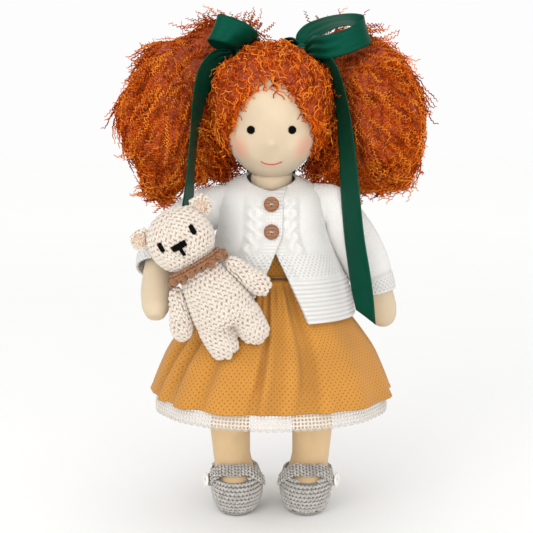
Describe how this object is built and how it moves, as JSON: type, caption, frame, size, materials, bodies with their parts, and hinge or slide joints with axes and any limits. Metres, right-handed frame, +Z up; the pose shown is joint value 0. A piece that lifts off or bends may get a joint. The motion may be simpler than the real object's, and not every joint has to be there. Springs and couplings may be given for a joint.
{
  "type": "waldorf doll",
  "caption": "Standing soft rag doll with big ribboned mohair pigtails, a knitted cardigan, a gathered dress over a lace petticoat and button shoes, holding a crochet toy bear.",
  "frame": {"origin": "On the floor under the middle of the whole model's box, between the doll's shoes.", "axes": "+Z up; the doll faces -Y; +X is the doll's left, which is on the right as one looks at its face."},
  "size_m": [0.2599, 0.1861, 0.4146],
  "materials": {
    "skin": "matte brushed cotton jersey",
    "leg_skin": "matte brushed cotton jersey, warm in the skirt's shade",
    "mohair": "crimped mohair with soft highlights",
    "satin": "glossy satin ribbon",
    "mustard_cotton": "matte ribbed cotton with a woven diamond of dots",
    "white_knit": "matte cotton hand knit",
    "white_cotton": "matte cotton",
    "grey_crochet": "matte crochet",
    "cream_crochet": "matte chunky crochet",
    "brown_crochet": "matte crochet",
    "wood": "oiled",
    "white_button": "satin",
    "black_thread": "embroidery thread",
    "red_thread": "embroidery thread"
  },
  "bodies": {
    "doll_body": {"torso": "skin", "neck": "skin", "dress_bodice": "mustard_cotton", "skirt": "mustard_cotton", "petticoat": "white_cotton", "petticoat_lace": "white_cotton", "cardigan_body": "white_knit", "cardigan_button_upper": "wood", "cardigan_button_lower": "wood"},
    "doll_head": {"head": "skin", "eye_left": "black_thread", "eye_right": "black_thread", "mouth": "red_thread", "ear_left": "skin", "ear_right": "skin", "hair_cap": "mohair", "pigtail_left": "mohair", "pigtail_right": "mohair", "bow_left": "satin", "bow_right": "satin", "ribbon_tail_left": "satin", "ribbon_tail_right": "satin", "ribbon_back_tail_left": "satin", "ribbon_back_tail_right": "satin"},
    "left_arm": {"arm_left": "skin", "sleeve_left": "white_knit"},
    "right_arm": {"arm_right": "skin", "sleeve_right": "white_knit"},
    "left_leg": {"leg_left": "leg_skin", "shoe_sole_left": "grey_crochet", "shoe_upper_left": "grey_crochet"},
    "right_leg": {"leg_right": "leg_skin", "shoe_sole_right": "grey_crochet", "shoe_upper_right": "grey_crochet"},
    "left_strap": {"shoe_strap_left": "grey_crochet", "shoe_button_left": "white_button"},
    "right_strap": {"shoe_strap_right": "grey_crochet", "shoe_button_right": "white_button"},
    "toy_bear": {"bear_body": "cream_crochet", "bear_head": "cream_crochet", "bear_collar": "brown_crochet", "bear_ear_left": "cream_crochet", "bear_ear_right": "cream_crochet", "bear_eye_left": "black_thread", "bear_eye_right": "black_thread", "bear_nose": "black_thread"},
    "bear_left_arm": {"bear_arm_left": "cream_crochet"},
    "bear_right_arm": {"bear_arm_right": "cream_crochet"}
  },
  "joints": [
    {"name": "neck_turn", "type": "hinge", "parent": "doll_body", "child": "doll_head", "pos_m": [-0.0009, 0.001, 0.27], "axis": [0, 0, 1], "range_deg": [-12, 12], "stiffness_Nm_per_rad": 0.08, "deforming": ["ribbon_tail_left", "ribbon_tail_right", "ribbon_back_tail_left", "ribbon_back_tail_right"]},
    {"name": "shoulder_left", "type": "hinge", "parent": "doll_body", "child": "left_arm", "pos_m": [0.0433, 0.001, 0.257], "axis": [-1, 0, 0], "range_deg": [-30, 60]},
    {"name": "shoulder_right", "type": "hinge", "parent": "doll_body", "child": "right_arm", "pos_m": [-0.0451, 0.001, 0.257], "axis": [-1, 0, 0], "range_deg": [-40, 0]},
    {"name": "hip_left", "type": "hinge", "parent": "doll_body", "child": "left_leg", "pos_m": [0.0251, 0.001, 0.172], "axis": [-1, 0, 0], "range_deg": [-20, 22]},
    {"name": "hip_right", "type": "hinge", "parent": "doll_body", "child": "right_leg", "pos_m": [-0.0269, 0.001, 0.172], "axis": [-1, 0, 0], "range_deg": [-20, 22]},
    {"name": "strap_left_open", "type": "hinge", "parent": "left_leg", "child": "left_strap", "pos_m": [0.00647, -0.01617, 0.02036], "axis": [0, -0.5, -0.866], "range_deg": [0, 40]},
    {"name": "strap_right_open", "type": "hinge", "parent": "right_leg", "child": "right_strap", "pos_m": [-0.00827, -0.01617, 0.02036], "axis": [0, 0.5, 0.866], "range_deg": [0, 40]},
    {"name": "bear_lift_off", "type": "slide", "parent": "doll_body", "child": "toy_bear", "axis": [0, -1, 0], "range_m": [0, 0.12]},
    {"name": "bear_arm_left_swing", "type": "hinge", "parent": "toy_bear", "child": "bear_left_arm", "pos_m": [-0.03218, -0.065, 0.21599], "axis": [-0.866, 0, -0.5], "range_deg": [0, 45]},
    {"name": "bear_arm_right_swing", "type": "hinge", "parent": "toy_bear", "child": "bear_right_arm", "pos_m": [-0.07462, -0.065, 0.19149], "axis": [-0.866, 0, -0.5], "range_deg": [0, 45]}
  ]
}
